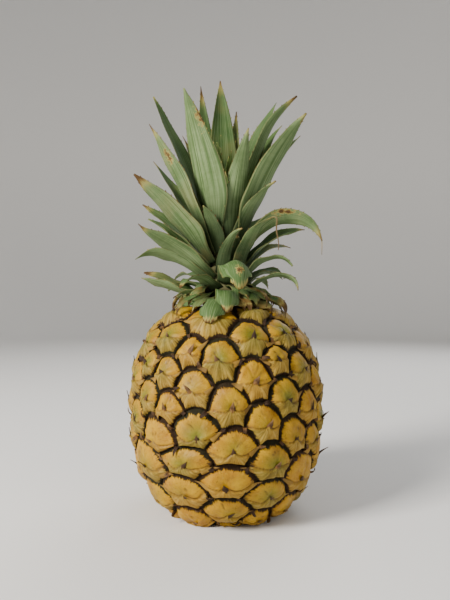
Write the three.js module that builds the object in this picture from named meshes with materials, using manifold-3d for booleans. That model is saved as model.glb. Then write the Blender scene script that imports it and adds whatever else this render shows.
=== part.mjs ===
import * as THREE from 'three';
import { ConvexHull } from 'three/addons/math/ConvexHull.js';
import Module from 'manifold-3d';

// A whole pineapple with its skin and its leafy crown, standing upright.
// Millimetres, +Z up. The origin is the middle of the flat spot that it stands on,
// and the front of the fruit faces -Y.

// Fruit: a barrel a little squarer than an ellipsoid, flat where it stands and
// where the crown sits
const bellyRadius = 60;
const bellyHeight = 64;
const reachDown = 72;
const reachUp = 68.5;
const squareness = 2.4;
const crownSeat = 128.5;
const shoulderSoftness = 1.6;

// Eyes: their places follow the growth spiral from the stem scar up to the crown,
// each with the same share of the skin. Then each settles towards the middle of its own
// outline, as eyes that press on each other do.
const spiralPlaces = 123;
const lastPlace = 117;
const goldenTurn = 137.508;
const spiralStart = 127;
const spiralDrift = [0, 25, -11];
const settleSteps = 6;
const settleShare = 0.8;

// Eyes at the front keep the places that they have on this fruit: place on the spiral,
// then the turn from the front towards +X, in degrees, and the height over the ground
const frontEyes = new Map([
  [95, [33, 99]],
  [90, [-4, 99]],
  [82, [15, 88]],
  [77, [-18, 83]],
  [74, [34, 77]],
  [69, [3, 74]],
  [64, [-34, 72]],
  [61, [22, 64]],
  [56, [-15, 58]],
  [53, [40, 55]],
  [51, [-43, 53]],
  [48, [4, 51]],
  [43, [-24, 43]],
  [40, [28, 42]],
  [35, [0, 31]],
  [30, [-26, 25]],
  [27, [27, 23]],
  [22, [1, 13]],
]);

// Relief of one eye over the bare barrel, and how far its upper edges arch
const grooveDepth = 2.3;
const eyeRise = 1.3;
const eyeUnevenness = 0.35;
const lipRise = 0.8;
const domeSharpness = 4;
const edgeArch = 0.08;
const eyeRings = [0.5, 0.88];
const eyeSeed = 7;

// Crown: a short tapered core that carries the leaves
const gap = 0.3;
const coreRadius = 13;
const coreTopRadius = 4;
const coreHeight = 54;
const coreSwell = 1.3;
const coreTipShare = 0.5;
const coreSides = 14;
const coreSteps = 5;

// Leaf sections: two faces that follow each other, closed by thin margins. A leaf hugs
// the core at its seat and opens into a shallow channel.
const leafStations = 7;
const leafThickness = 1.2;
const leafMargin = 0.55;
const leafThinning = 0.55;
const leafChannel = 0.14;
const leafHug = 0.45;
const leafHugEnd = 0.35;
const leafTaper = 2.5;
const leafTipWidth = 0.6;
const hoodFrom = 0.12;
const hoodFull = 0.55;
const curlSteps = 24;
const curlStart = 0.62;
const curlFull = 1.15;
const lowestLeafSeat = 1;
const highestLeafSeat = 42;

// Leaves from the lowest seat to the highest. turn is the direction from the front
// towards +X, in degrees; reach and height place the tip from the fruit's axis and above
// the ground; bow pulls the middle of the leaf up off its straight line; twist turns its
// inner face round the leaf's own line, in degrees at the tip; curl bends its end down, in
// degrees. A leaf with a hood turns its margins under, by that share of its width, keeps its
// width longer by its taper, and is end wide where it ends; lean moves a leaf's tip sideways.
const leaves = [
  { turn: -11, reach: 46, height: 119, width: 16, bow: 0.34, twist: 0, curl: 45,
    taper: 12, hood: 0.26, end: 9 },
  { turn: -100, reach: 55, height: 150, width: 15, bow: 0.02, twist: 40, curl: 20 },
  { turn: -84, reach: 54, height: 146, width: 15, bow: 0, twist: -35, curl: 0 },
  { turn: 60, reach: 33, height: 131, width: 9, bow: 0.4, twist: 15, curl: 60 },
  { turn: 170, reach: 38, height: 127, width: 16, bow: 0.4, twist: 0, curl: 20 },
  { turn: -66, reach: 36, height: 133, width: 11, bow: 0.25, twist: -20, curl: 20 },
  { turn: -150, reach: 38, height: 128, width: 15, bow: 0.4, twist: 0, curl: 20 },
  { turn: 2, reach: 41, height: 125, width: 14.4, bow: 0.36, twist: 3, curl: 46,
    taper: 11, hood: 0.32, end: 7 },
  { turn: 84, reach: 46, height: 138, width: 10, bow: 0.4, twist: 30, curl: 70 },
  { turn: -112, reach: 42, height: 138, width: 14, bow: 0.3, twist: 10, curl: 25 },
  { turn: 140, reach: 48, height: 140, width: 14, bow: 0.35, twist: 0, curl: 30 },
  { turn: -40, reach: 43, height: 139, width: 15, bow: 0.35, twist: -10, curl: 20 },
  { turn: -132, reach: 50, height: 145, width: 14, bow: 0.3, twist: 10, curl: 25 },
  { turn: 120, reach: 44, height: 146, width: 14, bow: 0.35, twist: 0, curl: 20 },
  { turn: 106, reach: 40, height: 146, width: 10, bow: 0.35, twist: -30, curl: 60 },
  { turn: -178, reach: 46, height: 140, width: 16, bow: 0.45, twist: 0, curl: 30 },
  { turn: 9, reach: 46, height: 138, width: 18, bow: 0.62, twist: 0, curl: 75,
    taper: 12, hood: 0.46, end: 10 },
  { turn: -74, reach: 58, height: 157, width: 17, bow: 0.2, twist: -35, curl: 45 },
  { turn: 74, reach: 43, height: 153, width: 10, bow: 0.4, twist: 30, curl: 50 },
  { turn: 154, reach: 52, height: 157, width: 15, bow: 0.4, twist: 0, curl: 20 },
  { turn: -60, reach: 60, height: 177, width: 20, bow: 0.12, twist: -30, curl: -30 },
  { turn: 122, reach: 52, height: 168, width: 13, bow: 0.3, twist: -20, curl: 15 },
  { turn: -158, reach: 51, height: 160, width: 17, bow: 0.35, twist: 0, curl: 20 },
  { turn: -88, reach: 50, height: 184, width: 16, bow: 0.1, twist: 40, curl: 10 },
  { turn: 44, reach: 38, height: 181, width: 12, bow: 0.2, twist: 10, curl: 30 },
  { turn: -12, reach: 30, height: 174, width: 9, bow: 0.3, twist: 0, curl: 25, lean: 15 },
  { turn: 97, reach: 52, height: 178, width: 16, bow: 0.25, twist: -35, curl: 10 },
  { turn: -126, reach: 54, height: 184, width: 16, bow: 0.2, twist: 20, curl: 10 },
  { turn: 176, reach: 50, height: 180, width: 18, bow: 0.3, twist: 0, curl: 10 },
  { turn: 82, reach: 61, height: 169, width: 18, bow: 0.62, twist: 70, curl: 55 },
  { turn: -100, reach: 56, height: 195, width: 15, bow: 0.08, twist: 40, curl: 0 },
  { turn: 140, reach: 53, height: 192, width: 16, bow: 0.22, twist: -10, curl: 15 },
  { turn: -68, reach: 60, height: 208, width: 25, bow: 0.06, twist: -35, curl: 0 },
  { turn: 24, reach: 18, height: 172, width: 14, bow: 0.15, twist: 0, curl: 10 },
  { turn: -155, reach: 50, height: 207, width: 18, bow: 0.2, twist: 0, curl: 5 },
  { turn: 54, reach: 37, height: 204, width: 14, bow: 0.25, twist: 15, curl: 15 },
  { turn: -112, reach: 53, height: 226, width: 13, bow: 0.06, twist: 30, curl: 0 },
  { turn: 122, reach: 38, height: 224, width: 15, bow: 0.12, twist: -25, curl: 5 },
  { turn: 160, reach: 47, height: 215, width: 17, bow: 0.16, twist: 0, curl: 5 },
  { turn: -80, reach: 49, height: 243, width: 20, bow: 0.03, twist: -35, curl: 0 },
  { turn: 106, reach: 52, height: 242, width: 15, bow: 0.12, twist: -25, curl: 10 },
  { turn: -40, reach: 22, height: 190, width: 15, bow: 0.12, twist: -10, curl: 10 },
  { turn: 72, reach: 52, height: 247, width: 26, bow: 0.1, twist: 35, curl: 5 },
  { turn: 172, reach: 38, height: 238, width: 17, bow: 0.1, twist: 0, curl: 0 },
  { turn: -134, reach: 42, height: 246, width: 14, bow: 0.08, twist: 10, curl: 5 },
  { turn: 125, reach: 48, height: 253, width: 16, bow: 0.1, twist: -25, curl: 15 },
  { turn: -96, reach: 48, height: 265, width: 20, bow: 0.04, twist: 40, curl: 0 },
  { turn: 92, reach: 46, height: 264, width: 19, bow: 0.12, twist: 40, curl: 25 },
  { turn: 32, reach: 26, height: 236, width: 19, bow: 0.08, twist: 20, curl: 5 },
  { turn: 118, reach: 38, height: 265, width: 22, bow: 0.07, twist: -30, curl: 10 },
  { turn: -50, reach: 34, height: 260, width: 28, bow: 0.05, twist: -25, curl: 0 },
  { turn: -140, reach: 26, height: 277, width: 14, bow: 0.04, twist: 15, curl: -15 },
  { turn: 150, reach: 16, height: 258, width: 12, bow: 0.02, twist: -20, curl: 0 },
  { turn: -168, reach: 13, height: 278, width: 24, bow: 0.02, twist: 0, curl: 0 },
];

const up = new THREE.Vector3(0, 0, 1);
const { lerp, smoothstep, clamp, degToRad } = THREE.MathUtils;
const wasm = await Module();
wasm.setup();

// Closed solid from an indexed three.js geometry
function toSolid(geometry) {
  return new wasm.Manifold(new wasm.Mesh({
    numProp: 3,
    vertProperties: geometry.attributes.position.array,
    triVerts: new Uint32Array(geometry.index.array),
  }));
}

function toGeometry(solid) {
  const mesh = solid.getMesh();
  const geometry = new THREE.BufferGeometry();
  geometry.setAttribute('position', new THREE.BufferAttribute(mesh.vertProperties, 3));
  geometry.setIndex(new THREE.BufferAttribute(mesh.triVerts, 1));
  geometry.computeVertexNormals();
  return geometry;
}

function indexedGeometry(points, triangles) {
  const geometry = new THREE.BufferGeometry().setFromPoints(points);
  geometry.setIndex(triangles.flat());
  return geometry;
}

// Skin through rings of points, each with the same count, closed by a fan at either end
function loft(rings) {
  const count = rings[0].length;
  const triangles = [];
  for (let ring = 0; ring + 1 < rings.length; ring += 1) {
    for (let i = 0; i < count; i += 1) {
      const a = ring * count + i;
      const b = ring * count + (i + 1) % count;
      triangles.push([a, b, b + count], [a, b + count, a + count]);
    }
  }
  const last = (rings.length - 1) * count;
  for (let i = 2; i < count; i += 1) {
    const next = (i + 1) % count;
    triangles.push([1, next, i], [last + 1, last + i, last + next]);
  }
  return indexedGeometry(rings.flat(), triangles);
}

// Distance from the middle of the barrel to its bare skin, along a direction
function barrelReach(direction) {
  const across = Math.hypot(direction.x, direction.y) / bellyRadius;
  const along = Math.abs(direction.z) / (direction.z > 0 ? reachUp : reachDown);
  return (across ** squareness + along ** squareness) ** (-1 / squareness);
}

// Height with the shoulder levelled off softly under the crown
function levelTop(height) {
  return crownSeat - shoulderSoftness * Math.log1p(Math.exp((crownSeat - height) / shoulderSoftness));
}

// Gives the angle from straight down under which a share of the whole skin lies
function skinShares() {
  const steps = 4000;
  const shares = [0];
  let radius = 0;
  let height = -reachDown;
  for (let i = 1; i <= steps; i += 1) {
    const angle = (Math.PI * i) / steps;
    const point = new THREE.Vector3(Math.sin(angle), 0, -Math.cos(angle));
    point.multiplyScalar(barrelReach(point));
    const band = Math.hypot(point.x - radius, point.z - height) * (point.x + radius);
    shares.push(shares[i - 1] + band);
    radius = point.x;
    height = point.z;
  }
  return (share) => {
    const wanted = share * shares[steps];
    const next = shares.findIndex((value) => value >= wanted);
    const part = (wanted - shares[next - 1]) / (shares[next] - shares[next - 1]);
    return (Math.PI * (next - 1 + part)) / steps;
  };
}

// Direction from the middle of the barrel to its bare skin, at a turn and a height
function skinDirection(turn, height) {
  const climb = height - bellyHeight;
  const along = Math.abs(climb) / (climb > 0 ? reachUp : reachDown);
  const radius = bellyRadius * (1 - along ** squareness) ** (1 / squareness);
  return new THREE.Vector3(0, -radius, climb).normalize().applyAxisAngle(up, degToRad(turn));
}

// Directions of the eyes from the middle of the barrel, in the order in which they grew
function eyeDirections() {
  const angleOfShare = skinShares();
  const directions = [];
  for (let place = 1; place <= lastPlace; place += 1) {
    const angle = angleOfShare(place / spiralPlaces);
    const direction = new THREE.Vector3(0, -Math.sin(angle), -Math.cos(angle));
    const climb = (direction.z * barrelReach(direction)) / bellyHeight;
    const drift = spiralDrift.reduce((sum, amount, i) => sum + amount * climb ** (i + 1), 0);
    const turn = spiralStart - goldenTurn * place + drift;
    const kept = frontEyes.get(place);
    directions.push(kept ? skinDirection(...kept) : direction.applyAxisAngle(up, degToRad(turn)));
  }
  return directions;
}

// Triangles between neighbouring sites: the hull of their directions
function neighbourTriangles(sites) {
  const order = new Map(sites.map((site, i) => [site, i]));
  return new ConvexHull().setFromPoints(sites).faces.map((face) => (
    [0, 1, 2].map((i) => order.get(face.getEdge(i).head().point))));
}

// Eyes and the two ends of the fruit, after the free eyes have settled
function settledSites() {
  const ends = [up.clone().negate(), up.clone()];
  let sites = [...eyeDirections(), ...ends];
  const isFree = sites.map((_, i) => i < lastPlace && !frontEyes.has(i + 1));
  for (let step = 0; step < settleSteps; step += 1) {
    const middles = sites.map(() => new THREE.Vector3());
    for (const triangle of neighbourTriangles(sites)) {
      const corner = new THREE.Vector3();
      triangle.forEach((i) => corner.add(sites[i]));
      corner.normalize();
      triangle.forEach((i) => middles[i].add(corner));
    }
    sites = sites.map((site, i) => (
      isFree[i] ? site.clone().lerp(middles[i].normalize(), settleShare).normalize() : site));
  }
  return sites;
}

// Groove between two neighbouring eyes, bent so that the lower eye's edge arches
function grooveMiddle(siteA, siteB, cornerA, cornerB) {
  const step = siteB.clone().sub(siteA);
  const bend = (edgeArch * step.z) / step.length();
  return cornerA.clone().add(cornerB).normalize().addScaledVector(step, bend).normalize();
}

// Height over the bare barrel at a share rho of the way from the eye's middle to its edge
function eyeHeight(rho, upward, rise) {
  const lip = lipRise * Math.max(0, -upward) * rho;
  return -grooveDepth + (grooveDepth + rise + lip) * (1 - rho ** domeSharpness);
}

// The fruit with every eye in relief; swell grows it all round
function fruitGeometry(sites, swell = 0) {
  const draw = seededDraws(eyeSeed);
  const points = [];
  const triangles = [];

  function addPoint(direction, height) {
    const unit = direction.clone().normalize();
    const point = unit.multiplyScalar(barrelReach(unit) + height + swell);
    point.z = Math.max(levelTop(point.z + bellyHeight - swell), 0) + swell;
    return points.push(point) - 1;
  }

  const fans = sites.map(() => new Map());
  for (const [a, b, c] of neighbourTriangles(sites)) {
    const corner = new THREE.Vector3().add(sites[a]).add(sites[b]).add(sites[c]).normalize();
    const index = addPoint(corner, -grooveDepth);
    fans[a].set(b, { next: c, corner, index });
    fans[b].set(c, { next: a, corner, index });
    fans[c].set(a, { next: b, corner, index });
  }

  const grooves = new Map();
  function groove(site, neighbour, before, after) {
    const key = [site, neighbour].sort((a, b) => a - b).join();
    if (!grooves.has(key)) {
      const middle = grooveMiddle(sites[site], sites[neighbour], before.corner, after.corner);
      grooves.set(key, { middle, index: addPoint(middle, -grooveDepth) });
    }
    return grooves.get(key);
  }

  sites.forEach((site, i) => {
    const isEnd = i >= lastPlace;
    const rise = isEnd ? 0 : eyeRise + eyeUnevenness * (2 * draw() - 1);
    const uphill = up.clone().addScaledVector(site, -site.z);
    const edge = [];
    let at = fans[i].keys().next().value;
    for (let step = 0; step < fans[i].size; step += 1) {
      const here = fans[i].get(at);
      const after = fans[i].get(here.next);
      edge.push({ direction: here.corner, index: here.index });
      const middle = groove(i, here.next, here, after);
      edge.push({ direction: middle.middle, index: middle.index });
      at = here.next;
    }
    const rings = eyeRings.map((rho) => edge.map(({ direction }) => {
      const outward = direction.clone().sub(site);
      const upward = isEnd ? 0 : outward.dot(uphill) / (outward.length() * uphill.length());
      return addPoint(site.clone().addScaledVector(outward, rho), eyeHeight(rho, upward, rise));
    }));
    rings.push(edge.map(({ index }) => index));
    const middle = addPoint(site, rise);
    edge.forEach((_, k) => {
      const next = (k + 1) % edge.length;
      triangles.push([middle, rings[0][k], rings[0][next]]);
      for (let ring = 0; ring + 1 < rings.length; ring += 1) {
        const inner = rings[ring];
        const outer = rings[ring + 1];
        triangles.push([inner[k], outer[k], outer[next]], [inner[k], outer[next], inner[next]]);
      }
    });
  });
  return indexedGeometry(points, triangles);
}

// Seeded draws in 0..1, so that every build gives the same fruit
function seededDraws(seed) {
  let state = seed;
  return () => {
    state = (state * 1664525 + 1013904223) % 4294967296;
    return state / 4294967296;
  };
}

// The crown is drawn from its own seat: height 0 is the bottom of the core
function coreRadiusAt(height) {
  return lerp(coreRadius, coreTopRadius, clamp(height / coreHeight, 0, 1) ** coreSwell);
}

function coreGeometry(swell = 0) {
  const rings = [];
  for (let i = 0; i <= coreSteps; i += 1) {
    const height = (coreHeight * i) / coreSteps;
    const radius = coreRadiusAt(height) * (i === coreSteps ? coreTipShare : 1) + swell;
    rings.push(Array.from({ length: coreSides }, (_, k) => {
      const angle = (2 * Math.PI * k) / coreSides;
      return new THREE.Vector3(radius * Math.cos(angle), radius * Math.sin(angle), height);
    }));
  }
  return loft(rings);
}

// Side view of a leaf: distance from the axis against height over the crown's seat. The
// end curls down from curlStart on, and the tip stays where reach and height put it.
function leafCurve(leaf, seat) {
  const start = new THREE.Vector2(coreRadiusAt(seat) + gap + leafThickness / 2, seat);
  const tip = new THREE.Vector2(leaf.reach, leaf.height - crownSeat - gap);
  const run = tip.clone().sub(start);
  const pull = new THREE.Vector2(-run.y, run.x).multiplyScalar(leaf.bow);
  const middle = start.clone().add(tip).multiplyScalar(0.5).add(pull);
  const bowed = new THREE.QuadraticBezierCurve(start, middle, tip).getPoints(curlSteps);
  const origin = new THREE.Vector2();
  const curled = [origin];
  for (let i = 1; i <= curlSteps; i += 1) {
    const bend = degToRad(leaf.curl) * smoothstep((i - 0.5) / curlSteps, curlStart, curlFull);
    const step = bowed[i].clone().sub(bowed[i - 1]).rotateAround(origin, -bend);
    curled.push(curled[i - 1].clone().add(step));
  }
  const end = curled[curlSteps];
  const turn = run.angle() - end.angle();
  const grow = run.length() / end.length();
  return new THREE.SplineCurve(curled.map((point) => (
    point.clone().rotateAround(origin, turn).multiplyScalar(grow).add(start))));
}

// Half width of a leaf and the depth of its channel, a share of the way to its tip
function leafSpread(leaf, hugged, share) {
  const open = smoothstep(share, 0, leafHugEnd);
  const blade = (leaf.width * (1 - share ** (leaf.taper ?? leafTaper))) / 2;
  const base = Math.min(leaf.width / 2, leafHug * hugged);
  const half = Math.max((leaf.end ?? leafTipWidth) / 2, lerp(Math.min(base, blade), blade, open));
  const hugDepth = hugged - Math.sqrt(hugged ** 2 - Math.min(half, base) ** 2);
  const hooded = leaf.hood ? smoothstep(share, hoodFrom, hoodFull) : 0;
  const channel = lerp(leafChannel, -(leaf.hood ?? 0), hooded);
  return { half, depth: lerp(hugDepth, channel * 2 * half, open) };
}

// One leaf as a thin channelled solid; swell grows it all round
function leafGeometry(leaf, seat, swell = 0) {
  const curve = leafCurve(leaf, seat);
  const rings = [];
  for (let i = 0; i < leafStations; i += 1) {
    const share = i / (leafStations - 1);
    const at = curve.getPoint(share);
    const along = curve.getTangent(share);
    const twist = degToRad(leaf.twist) * smoothstep(share, 0, 1);
    const side = new THREE.Vector3(1, 0, 0);
    const inner = new THREE.Vector3(0, along.y, along.x);
    const across = side.clone().multiplyScalar(Math.cos(twist)).addScaledVector(inner, -Math.sin(twist));
    const lift = inner.clone().multiplyScalar(Math.cos(twist)).addScaledVector(side, Math.sin(twist));
    const { half, depth } = leafSpread(leaf, curve.points[0].x, share);
    const thin = 1 - leafThinning * share;
    const face = (facing) => [-1, 0, 1].map((place) => {
      const thick = (place ? leafMargin : leafThickness) * thin + 2 * swell;
      return new THREE.Vector3((leaf.lean ?? 0) * share ** 2, -at.x, at.y)
        .addScaledVector(across, (half + swell) * place)
        .addScaledVector(lift, depth * place ** 2 + (facing * thick) / 2)
        .applyAxisAngle(up, degToRad(leaf.turn));
    });
    rings.push([...face(-1), ...face(1).reverse()]);
  }
  return loft(rings);
}

function touches(solidA, solidB) {
  const a = solidA.boundingBox();
  const b = solidB.boundingBox();
  return [0, 1, 2].every((axis) => a.min[axis] < b.max[axis] && b.min[axis] < a.max[axis]);
}

// Each leaf gives way to the core, to the fruit's shoulder and to the leaves above it
function crownLeaves(sites) {
  const shoulder = fruitGeometry(sites, gap).translate(0, 0, -crownSeat - gap);
  const taken = [toSolid(coreGeometry(gap)), toSolid(shoulder)];
  const made = [];
  for (let i = leaves.length - 1; i >= 0; i -= 1) {
    const seat = lerp(lowestLeafSeat, highestLeafSeat, i / (leaves.length - 1));
    let solid = toSolid(leafGeometry(leaves[i], seat));
    for (const other of taken.filter((each) => touches(solid, each))) {
      solid = solid.subtract(other);
    }
    const bodies = solid.decompose().sort((a, b) => b.volume() - a.volume());
    made.unshift(toGeometry(bodies[0]));
    taken.push(toSolid(leafGeometry(leaves[i], seat, gap)));
  }
  return made;
}

function part(name, geometry, material) {
  const mesh = new THREE.Mesh(geometry, material);
  mesh.name = name;
  return mesh;
}

const skin = new THREE.MeshStandardMaterial({ color: 0xc68a2e, roughness: 0.55, metalness: 0 });
const leaf = new THREE.MeshStandardMaterial({ color: 0x6d8c58, roughness: 0.6, metalness: 0 });
const stem = new THREE.MeshStandardMaterial({ color: 0xc2c08f, roughness: 0.7, metalness: 0 });

const eyeSites = settledSites();
const pineapple = new THREE.Group();
pineapple.add(part('fruit', fruitGeometry(eyeSites), skin));

const crown = new THREE.Group();
crown.position.z = crownSeat + gap;
crown.add(part('crown_core', coreGeometry(), stem));
crownLeaves(eyeSites).forEach((geometry, i) => {
  crown.add(part(`leaf_${String(i + 1).padStart(2, '0')}`, geometry, leaf));
});
pineapple.add(crown);

export default pineapple;
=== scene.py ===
# Whole pineapple with its skin and its leafy crown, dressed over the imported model.
# Values are given in mm and turned into metres on the spot. +Z is up, the front faces -Y.
import math
import random

import bmesh
import bpy
import numpy as np
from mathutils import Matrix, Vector, noise


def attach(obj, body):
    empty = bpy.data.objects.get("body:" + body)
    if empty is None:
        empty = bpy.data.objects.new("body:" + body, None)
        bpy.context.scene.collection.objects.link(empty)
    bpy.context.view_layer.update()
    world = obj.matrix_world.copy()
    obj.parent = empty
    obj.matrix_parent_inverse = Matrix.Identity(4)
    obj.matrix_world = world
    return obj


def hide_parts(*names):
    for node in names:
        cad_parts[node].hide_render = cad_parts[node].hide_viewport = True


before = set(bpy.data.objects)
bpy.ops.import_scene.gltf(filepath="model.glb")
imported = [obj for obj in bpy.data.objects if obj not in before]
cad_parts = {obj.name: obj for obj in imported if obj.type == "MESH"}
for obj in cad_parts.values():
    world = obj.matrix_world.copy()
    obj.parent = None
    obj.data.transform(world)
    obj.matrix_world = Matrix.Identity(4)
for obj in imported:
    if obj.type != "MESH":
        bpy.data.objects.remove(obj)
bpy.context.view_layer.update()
mm = 0.001
print("stage: packed model loaded")


# Small tools that several pieces share

def mix(a, b, share):
    return a + (b - a) * share


def softStep(value, low, high):  # 0 at low, 1 at high, smooth between
    share = np.clip((value - low) / (high - low), 0, 1)
    return share * share * (3 - 2 * share)


def hump(value, middle, width):  # 1 at the middle, falling away on both sides
    return np.exp(-((value - middle) / width) ** 2)


def unit(vectors):
    return vectors / np.linalg.norm(vectors, axis=-1, keepdims=True)


def ripple(x, y, z):  # smooth noise between -1 and 1
    spots = np.stack(np.broadcast_arrays(x, y, z), axis=-1).reshape(-1, 3)
    return np.array([noise.noise(spot) for spot in spots.tolist()])


def turned(points, degrees):  # rotates round the fruit's axis
    angle = math.radians(degrees)
    x, y, z = np.moveaxis(np.asarray(points, float), -1, 0)
    return np.stack((x * math.cos(angle) - y * math.sin(angle),
                     x * math.sin(angle) + y * math.cos(angle), z), axis=-1)


class Heap:  # points, faces and per-point values of many small shapes, joined later
    def __init__(self):
        self.points = []
        self.faces = []
        self.masks = {}

    def add(self, points, faces, **masks):
        start = len(self.points)
        self.points.extend(map(tuple, np.asarray(points, float).tolist()))
        self.faces.extend(tuple(corner + start for corner in face) for face in faces)
        for label, values in masks.items():
            spread = np.broadcast_to(np.asarray(values, float), (len(self.points) - start,))
            self.masks.setdefault(label, []).extend(spread.tolist())


def makePiece(name, heap, material):
    mesh = bpy.data.meshes.new(name)
    mesh.from_pydata(heap.points, [], heap.faces)
    for label, values in heap.masks.items():
        layer = mesh.attributes.new(label, "FLOAT", "POINT")
        layer.data.foreach_set("value", values)
    mesh.shade_smooth()
    mesh.materials.append(material)
    piece = bpy.data.objects.new(name, mesh)
    bpy.context.scene.collection.objects.link(piece)
    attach(piece, "root")
    return piece


def ringFaces(rings, count):  # skin through closed rings of points, with a lid at both ends
    faces = []
    for ring in range(rings - 1):
        for k in range(count):
            a = ring * count + k
            b = ring * count + (k + 1) % count
            faces.append((a, b, b + count, a + count))
    faces.append(tuple(reversed(range(count))))
    faces.append(tuple(range((rings - 1) * count, rings * count)))
    return faces


# Camera, lights and floor

view = {
    "distance": 360 * mm,      # from the fruit's axis
    "height": 132 * mm,
    "aside": -0.64 * mm,
    "lens": 33.54,             # in mm, like the sensor
    "sensor": 36,              # along the picture's long side
    "nearest": 20 * mm,        # nothing closer to the camera is drawn
}

softboxes = {  # place and aim height in metres, width and height, watts, tone
    "keyLight": ((-0.92, -0.68, 0.78), 0.14, (0.38, 0.50), 36, (1.0, 0.96, 0.90)),
    "fillLight": ((0.95, -0.70, 0.50), 0.12, (0.70, 0.70), 2.6, (0.95, 0.97, 1.0)),
    "backLight": ((0.45, 0.80, 0.85), 0.16, (0.90, 0.90), 7, (1.0, 1.0, 1.0)),
}

surround = {
    "floorTone": (0.78, 0.77, 0.75),
    "floorRoughness": 0.85,
    "floorRadius": (0.3, 1.6),  # metres, from the first ring to where the floor starts to rise
    "curveRadius": 0.8,
    "wallHeight": 2.1,
    "skyTone": (0.92, 0.95, 1.0),
    "skyStrength": 0.24,
    "sides": 96,
    "steps": 12,
}


def setCamera():
    data = bpy.data.cameras.new("camera")
    data.sensor_width = view["sensor"]
    data.lens = view["lens"]
    data.clip_start = view["nearest"]
    camera = bpy.data.objects.new("camera", data)
    camera.location = (view["aside"], -view["distance"], view["height"])
    camera.rotation_euler = (math.radians(90), 0, 0)
    bpy.context.scene.collection.objects.link(camera)
    bpy.context.scene.camera = camera


def hangLights():
    for name, (place, aim, size, watts, tone) in softboxes.items():
        data = bpy.data.lights.new(name, "AREA")
        data.shape = "RECTANGLE"
        data.size, data.size_y = size
        data.energy = watts
        data.color = tone
        lamp = bpy.data.objects.new(name, data)
        lamp.location = place
        lamp.rotation_euler = (Vector((0, 0, aim)) - lamp.location).to_track_quat("-Z", "Y").to_euler()
        bpy.context.scene.collection.objects.link(lamp)
    world = bpy.data.worlds.new("sky")
    world.use_nodes = True
    background = world.node_tree.nodes["Background"]
    background.inputs["Color"].default_value = (*surround["skyTone"], 1)
    background.inputs["Strength"].default_value = surround["skyStrength"]
    bpy.context.scene.world = world


def layFloor():  # a shallow bowl, so that no edge shows from any side
    steps, sides, curve = surround["steps"], surround["sides"], surround["curveRadius"]
    inner, outer = surround["floorRadius"]
    profile = [(inner, 0.0), (outer, 0.0)]
    for k in range(1, steps + 1):
        angle = math.pi / 2 * k / steps
        profile.append((outer + curve * math.sin(angle), curve * (1 - math.cos(angle))))
    profile.append((outer + curve, surround["wallHeight"]))
    points = [(radius * math.cos(2 * math.pi * k / sides), radius * math.sin(2 * math.pi * k / sides), z)
              for radius, z in profile for k in range(sides)]
    mesh = bpy.data.meshes.new("floor")
    mesh.from_pydata(points, [], ringFaces(len(profile), sides)[:-1])
    mesh.shade_smooth()
    paint = bpy.data.materials.new("floorPaint")
    paint.use_nodes = True
    shader = paint.node_tree.nodes["Principled BSDF"]
    shader.inputs["Base Color"].default_value = (*surround["floorTone"], 1)
    shader.inputs["Roughness"].default_value = surround["floorRoughness"]
    mesh.materials.append(paint)
    floor = bpy.data.objects.new("floor", mesh)
    bpy.context.scene.collection.objects.link(floor)


# Materials: every finish is a node tree that reads the values stored on the mesh

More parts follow.
